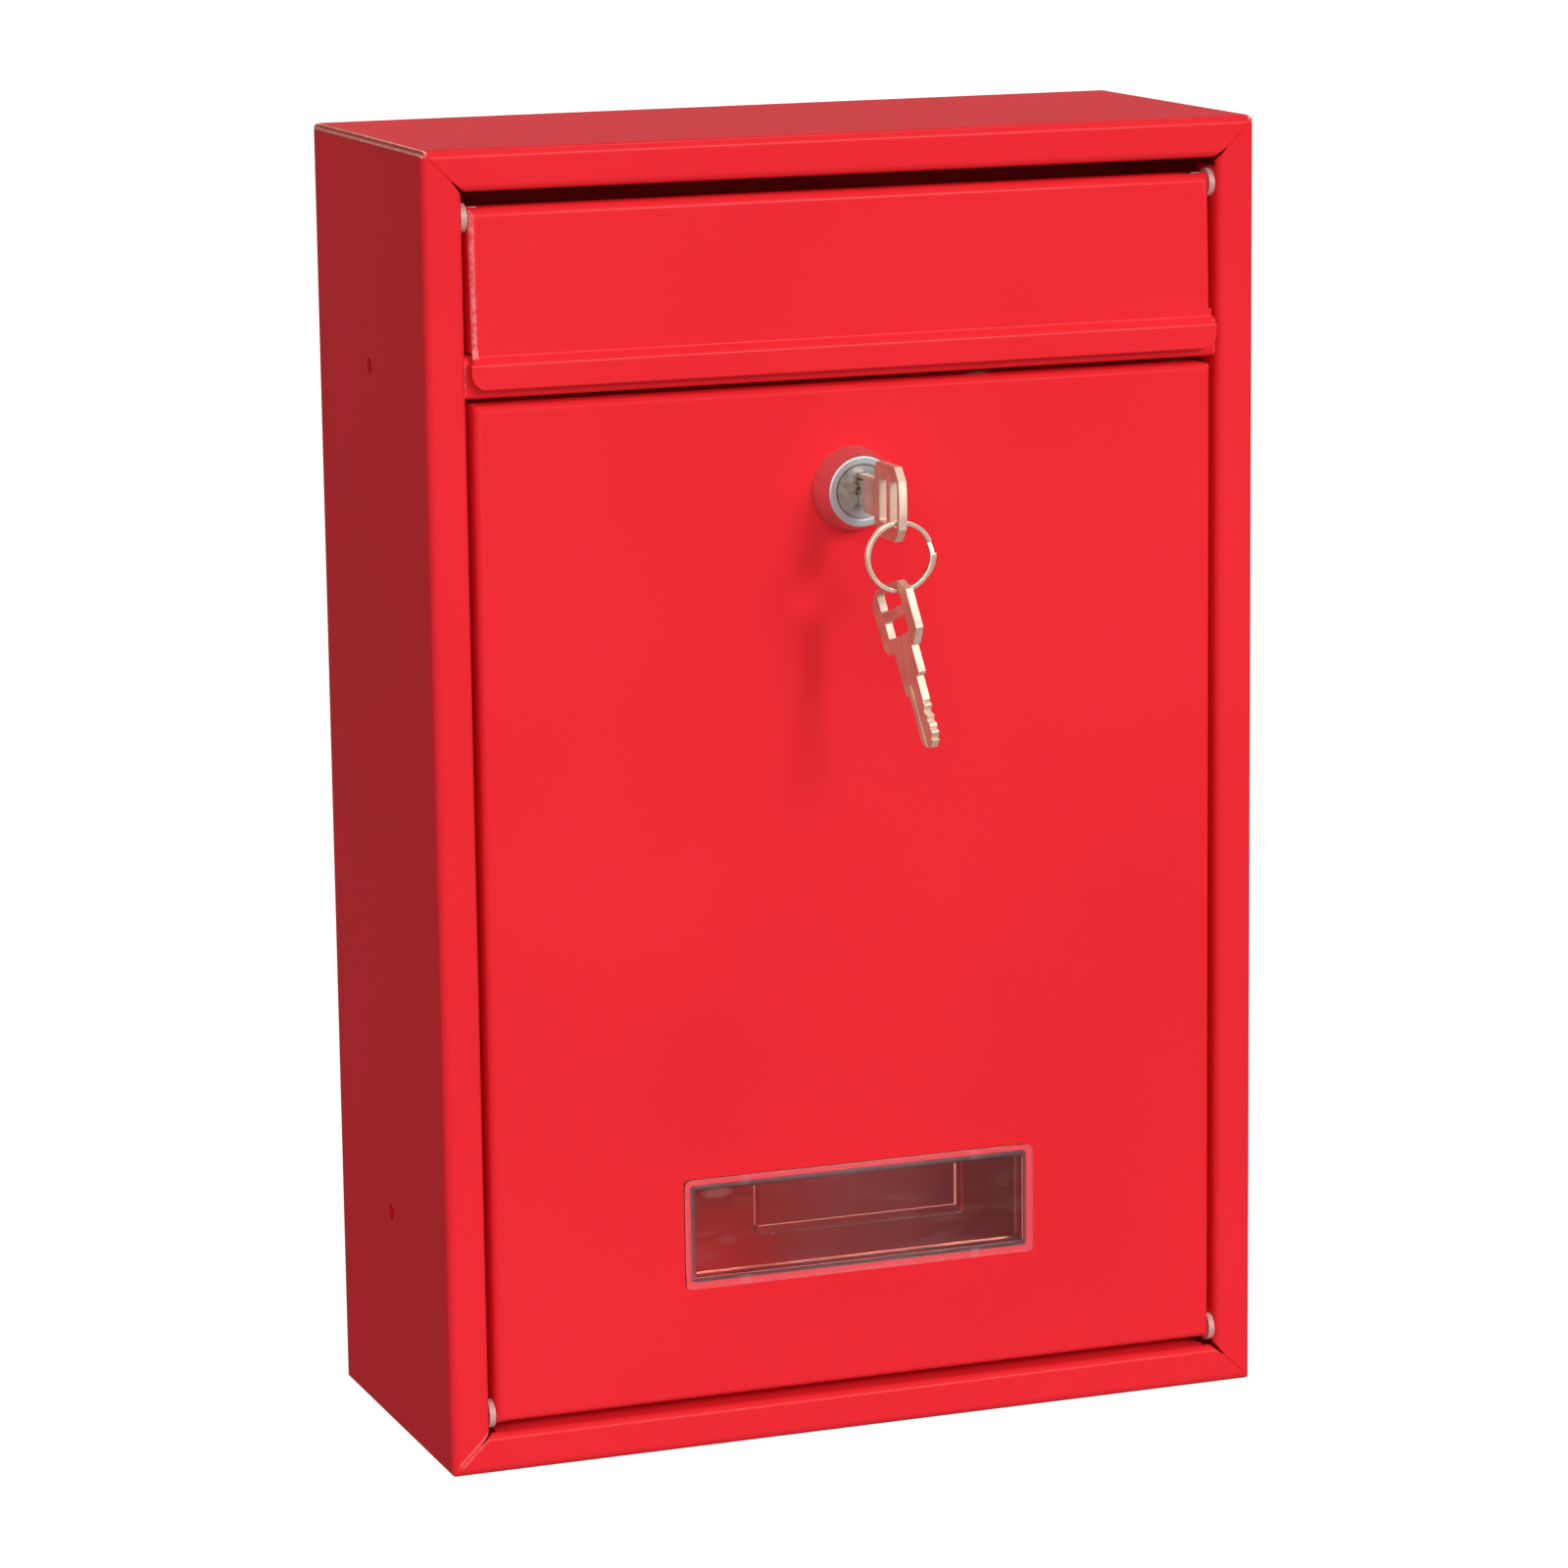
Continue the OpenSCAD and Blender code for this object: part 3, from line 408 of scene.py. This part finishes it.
def clear_moulding():
    """Clear plastic of the window: slightly warm, with a film of dust, wiped smudges and moulding waves."""
    f = Finish("clear_window_plastic", IOR=1.49, Specular_Tint=(0.5, 0.46, 0.46, 1))
    wave = f.noise(60, 2.0, 0.4)
    smear = f.noise(70, 4.0, 0.65, f.stretched(1, 1, 3.2))
    dust = f.noise(2600, 2.0, 0.6)
    x, y, z = f.axes()
    up = f.minus(z, WINDOW_MID)
    wide = f.size(x)
    into_rim = f.math("MAXIMUM", f.minus(wide, WINDOW_HALF_X - WINDOW_RIM),
                      f.minus(f.size(up), WINDOW_HALF_Z - WINDOW_RIM))
    rim = f.spread(into_rim, 0.0, 0.4 * MM, 0.0, 1.0)
    f.link(f.blend(rim, srgb(250, 206, 200), srgb(222, 204, 212)), "Base Color")
    # The film, on the front face only: smudges, dust, a whiter film in the middle that is a painted
    # reflection, the spot and the rim
    film = f.plus(f.spread(smear, 0.5, 0.75, 0.0, 0.05), f.spread(dust, 0.6, 0.8, 0.0, 0.02))
    # A painted reflection: a faint white film, strongest in the middle of the window and fading out
    # sideways
    film = f.plus(film, f.spread(wide, 10 * MM, 28 * MM, 0.03, 0.0))
    film = f.plus(film, wiped_spot(f, x, up, smear))
    film = f.plus(film, f.times(rim, f.plus(clips_behind(f, wide, dust), 0.09)))
    front = f.spread(y, WINDOW_FACE + 0.2 * MM, WINDOW_FACE + 0.4 * MM, 1.0, 0.0)
    f.link(f.minus(1.0, f.times(film, front)), "Transmission Weight")
    f.link(f.spread(smear, 0.4, 0.7, 0.02, 0.08), "Roughness")
    f.bumps((wave, 0.02 * MM))
    lit_through(f)
    return f.material


def bush_moulding():
    """Unpigmented nylon of the hinge bushes, milky and slightly waxy."""
    f = Finish("natural_nylon", Transmission_Weight=0.35, IOR=1.5, Subsurface_Weight=0.4,
               Subsurface_Scale=2 * MM)
    cloud = f.noise(500, 3.0, 0.5)
    f.link(f.ramp(cloud, [(0.3, srgb(244, 172, 162)), (0.7, srgb(255, 214, 204))]), "Base Color")
    f.link(f.spread(cloud, 0.3, 0.7, 0.32, 0.5), "Roughness")
    f.bumps((cloud, 0.01 * MM))
    return f.material


RED = powder_coat()
CASE_RED = case_coat()
FLAP_RED = flap_coat()
EDGE_RED = thin_coat_and_edge_highlight()
CHROME = collar_chrome()
PLUG = plug_satin()
NICKEL = nickel()
WIRE = ring_wire()
ZINC = zinc_plate()
BRASS = stamped_brass()
CLEAR = clear_moulding()
NYLON = bush_moulding()

NODE_FINISH = {
    "case": CASE_RED, "slot_sill": RED, "flap": FLAP_RED, "door": RED,
    "flap_bush_left": NYLON, "flap_bush_right": NYLON,
    "door_bush_left": NYLON, "door_bush_right": NYLON,
    "door_window": CLEAR, "lock_housing": CHROME, "lock_nut": ZINC, "lock_plug": PLUG,
    "wafer_1": BRASS, "wafer_2": BRASS, "wafer_3": BRASS, "wafer_4": BRASS, "wafer_5": BRASS,
    "wafer_springs": ZINC, "lock_cam": ZINC, "cam_washer": ZINC, "cam_screw": ZINC,
    "key": NICKEL, "key_ring": WIRE, "spare_key": NICKEL}
for name, finish in NODE_FINISH.items():
    nodes[name].data.materials.clear()
    nodes[name].data.materials.append(finish)


# Skins: copies of the folded and stamped nodes, merged so that their bends shade smoothly

# Corners of the loose triangles closer than this are one
SAME_CORNER = 0.002 * MM
# Faces that meet at less than this, in degrees, are one flat face
SAME_FACE = 0.2
# Faces that meet at less than this, in degrees, shade as one bend
SMOOTH_BEND = 25
# Edges sharper than this, in degrees, are cut edges, and their corners may be rounded
CUT_EDGE = 40
# The gap that a lifted face leaves
HAIR = 0.04 * MM


def new_object(name, data):
    """A new object at the origin, in the scene."""
    piece = bpy.data.objects.new(name, data)
    bpy.context.scene.collection.objects.link(piece)
    return piece


def body_of(node):
    return nodes[node]["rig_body"]


def dress(piece, node, *finishes):
    """Puts a piece, with its finishes, in the place of a CAD node, on the body that the node rides on."""
    piece.data.materials.clear()
    for finish in finishes:
        piece.data.materials.append(finish)
    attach(piece, body_of(node))
    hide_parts(node)


def skin(node, *edge_finish, round_over=0.0, segments=2, lift_at=None):
    """A merged copy of a node, smooth over its bends. round_over softens its cut edges, in mm, and
    edge_finish is what shows there. lift_at is a face, given by its Y, that is moved a hair's
    breadth forward, off the sheet that it lies on, so that a clear piece shows what is under it."""
    mesh = nodes[node].data.copy()
    mesh.name = node + "_skin"
    bm = bmesh.new()
    bm.from_mesh(mesh)
    bmesh.ops.remove_doubles(bm, verts=bm.verts, dist=SAME_CORNER)
    bmesh.ops.dissolve_limit(bm, angle_limit=math.radians(SAME_FACE), verts=bm.verts, edges=bm.edges)
    if lift_at is not None:
        for vert in bm.verts:
            if abs(vert.co.y - lift_at) < 0.01 * MM:
                vert.co.y -= HAIR
    for face in bm.faces:
        face.smooth = True
    for edge in bm.edges:
        if len(edge.link_faces) == 2:
            edge.smooth = edge.calc_face_angle(0.0) < math.radians(SMOOTH_BEND)
    bm.to_mesh(mesh)
    bm.free()
    piece = new_object(node + "_skin", mesh)
    if round_over:
        bevel = piece.modifiers.new("cut_edges", "BEVEL")
        bevel.width = round_over * MM
        bevel.segments = segments
        bevel.limit_method = "ANGLE"
        bevel.angle_limit = math.radians(CUT_EDGE)
        if edge_finish:
            bevel.material = 1
    normals = piece.modifiers.new("flat_faces", "WEIGHTED_NORMAL")
    normals.keep_sharp = True
    dress(piece, node, NODE_FINISH[node], *edge_finish)


skin("case")
skin("slot_sill", EDGE_RED, round_over=0.15)
skin("flap", EDGE_RED, round_over=0.25)
skin("door", EDGE_RED, round_over=0.15)
for piece in ("key", "spare_key", "key_ring"):
    skin(piece, round_over=0.22, segments=3)
for piece in ("lock_housing", "lock_plug"):
    skin(piece, round_over=0.06)
for piece in ("flap_bush_left", "flap_bush_right", "door_bush_left", "door_bush_right"):
    skin(piece, round_over=0.25, segments=3)
skin("door_window", round_over=0.15, lift_at=DOOR_FACE)
for piece in ("lock_nut", "lock_cam"):
    skin(piece, round_over=0.15)
skin("cam_screw", round_over=0.1)


# Floor, light and camera

# The floor's half width, how white it looks by itself, and what share of that a gloss reflects
FLOOR_HALF = 12.0
FLOOR_GLOW = 0.8
FLOOR_IN_GLOSS = 0.3


def floor():
    """A pale floor some way under the box, which hangs on a wall, so that its door can drop open."""
    bm = bmesh.new()
    bmesh.ops.create_grid(bm, x_segments=2, y_segments=2, size=FLOOR_HALF,
                          matrix=Matrix.Translation((0, 0, cad_low.z - UNDER_THE_BOX)))
    mesh = bpy.data.meshes.new("floor")
    bm.to_mesh(mesh)
    bm.free()
    piece = new_object("floor", mesh)
    f = Finish("pale_floor", Roughness=0.9, Specular_IOR_Level=0.1)
    fleck = f.noise(300, 2.0, 0.5)
    f.link(f.ramp(fleck, [(0.3, (0.38, 0.38, 0.38, 1)), (0.7, (0.42, 0.42, 0.42, 1))]), "Base Color")
    rays = f.add("LightPath").outputs
    seen = f.math("MAXIMUM", f.times(rays["Is Glossy Ray"], FLOOR_IN_GLOSS),
                  f.math("MAXIMUM", rays["Is Camera Ray"], rays["Is Transmission Ray"]))
    glow = f.add("Emission", Color=(1, 1, 1, 1), Strength=f.times(seen, FLOOR_GLOW))
    both = f.add("AddShader")
    f.feed(both.inputs[0], f.shader.outputs[0])
    f.feed(both.inputs[1], glow.outputs[0])
    f.feed(f.output.inputs["Surface"], both.outputs[0])
    mesh.materials.append(f.material)


def sun(name, towards, strength, softness):
    """Even light from one side; softness is its width in degrees."""
    light = bpy.data.lights.new(name, "SUN")
    light.energy = strength
    light.angle = math.radians(softness)
    lamp = new_object(name, light)
    lamp.rotation_euler = Vector(towards).to_track_quat("Z", "Y").to_euler()


def white_world(ambient):
    """White where the camera, a reflection or clear plastic looks; a weaker fill for the rest."""
    world = bpy.data.worlds.new("studio")
    bpy.context.scene.world = world
    world.use_nodes = True
    tree = world.node_tree
    background = next(n for n in tree.nodes if n.type == "BACKGROUND")
    background.inputs["Color"].default_value = (1, 1, 1, 1)
    path = tree.nodes.new("ShaderNodeLightPath")
    total = path.outputs["Is Camera Ray"]
    for ray in ("Is Glossy Ray", "Is Transmission Ray"):
        either = tree.nodes.new("ShaderNodeMath")
        either.operation = "MAXIMUM"
        tree.links.new(total, either.inputs[0])
        tree.links.new(path.outputs[ray], either.inputs[1])
        total = either.outputs[0]
    level = tree.nodes.new("ShaderNodeMapRange")
    level.inputs["To Min"].default_value = ambient
    level.inputs["To Max"].default_value = 1.0
    tree.links.new(total, level.inputs["Value"])
    tree.links.new(level.outputs["Result"], background.inputs["Strength"])


def photo_camera():
    """The camera of the photograph, solved from the corners of the box."""
    lens = bpy.data.cameras.new("photo_camera")
    lens.sensor_width = 36.0
    lens.lens = 132.82
    lens.clip_start = 0.05
    camera = new_object("photo_camera", lens)
    place = Matrix.Translation((-0.49501, -1.37271, 0.27558))
    right = Vector((0.93639, -0.35076, -0.01214))
    up = Vector((0.07945, 0.17816, 0.98079))
    back = Vector((-0.34186, -0.91936, 0.19469))
    camera.matrix_world = place @ Matrix((right, up, back)).transposed().to_4x4()
    bpy.context.scene.camera = camera


floor()
white_world(ambient=0.27)
sun("broad_light", towards=(-0.12, -0.93, 0.31), strength=1.55, softness=60)
sun("soft_box", towards=(0.36, -0.84, 0.40), strength=0.98, softness=14)
sun("overhead", towards=(0.34, 0.25, 0.90), strength=0.2, softness=5)
sun("back_fill", towards=(0.80, 0.55, 0.15), strength=0.5, softness=60)
photo_camera()
bpy.context.scene.view_settings.view_transform = "Standard"
